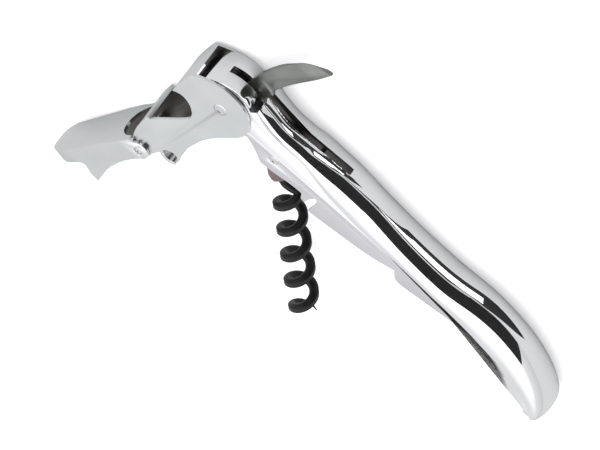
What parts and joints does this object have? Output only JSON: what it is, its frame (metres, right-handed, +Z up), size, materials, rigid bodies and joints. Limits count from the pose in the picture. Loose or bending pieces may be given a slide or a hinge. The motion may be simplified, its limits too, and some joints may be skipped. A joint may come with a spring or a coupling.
{
  "type": "lever corkscrew",
  "caption": "Folding lever corkscrew with a curved polished handle, a hinged lever with a cap lifter and steps, a coated worm and a serrated foil knife.",
  "frame": {"origin": "middle of the bounding box's base, with the object lying on its far side", "axes": "+X along the handle towards its tail, +Y towards the handle's spine, +Z up across the handle, along every pivot"},
  "size_m": [0.1258, 0.1046, 0.0139],
  "materials": {
    "polished_shell": "polished",
    "sheet_steel": "polished",
    "lever_steel": "polished",
    "pin_steel": "polished",
    "spring_steel": "satin",
    "blade_steel": "satin",
    "foot_steel": "polished",
    "coated_wire": "satin coating on steel wire"
  },
  "bodies": {
    "handle": {"handle_shell": "polished_shell", "cheek_near": "sheet_steel", "cheek_far": "sheet_steel", "head_cap": "polished_shell", "knife_spring": "spring_steel", "spring_pin": "pin_steel", "tail_block": "spring_steel", "knife_pin": "pin_steel", "knife_washer_near": "pin_steel", "knife_washer_far": "pin_steel", "lever_bush": "pin_steel", "worm_rivet": "pin_steel", "worm_washer_near": "pin_steel", "worm_washer_far": "pin_steel"},
    "first_lever": {"lever_first": "lever_steel", "first_step": "lever_steel", "lever_rivet": "pin_steel", "hinge_pin": "pin_steel", "hinge_bush": "pin_steel"},
    "second_lever": {"lever_second": "lever_steel"},
    "worm": {"worm": "coated_wire", "worm_foot": "foot_steel"},
    "knife": {"knife_blade": "blade_steel"}
  },
  "joints": [
    {"name": "lever_pivot", "type": "hinge", "parent": "handle", "child": "first_lever", "pos_m": [-0.04869, 0.01631, 0.00695], "axis": [0, 0, 1], "range_deg": [-60, 72]},
    {"name": "middle_hinge", "type": "hinge", "parent": "first_lever", "child": "second_lever", "pos_m": [-0.05138, -0.02029, 0.00695], "axis": [0, 0, 1], "range_deg": [0, 36]},
    {"name": "worm_pivot", "type": "hinge", "parent": "handle", "child": "worm", "pos_m": [-0.03019, 0.01511, 0.00695], "axis": [0, 0, 1], "range_deg": [-44.8, 53.7]},
    {"name": "knife_pivot", "type": "hinge", "parent": "handle", "child": "knife", "pos_m": [-0.04649, 0.02191, 0.00695], "axis": [0, 0, 1], "range_deg": [-78.5, 0]}
  ],
  "couplings": [
    {"joint": "worm_pivot", "follows": "lever_pivot", "ratio": 0.745}
  ]
}
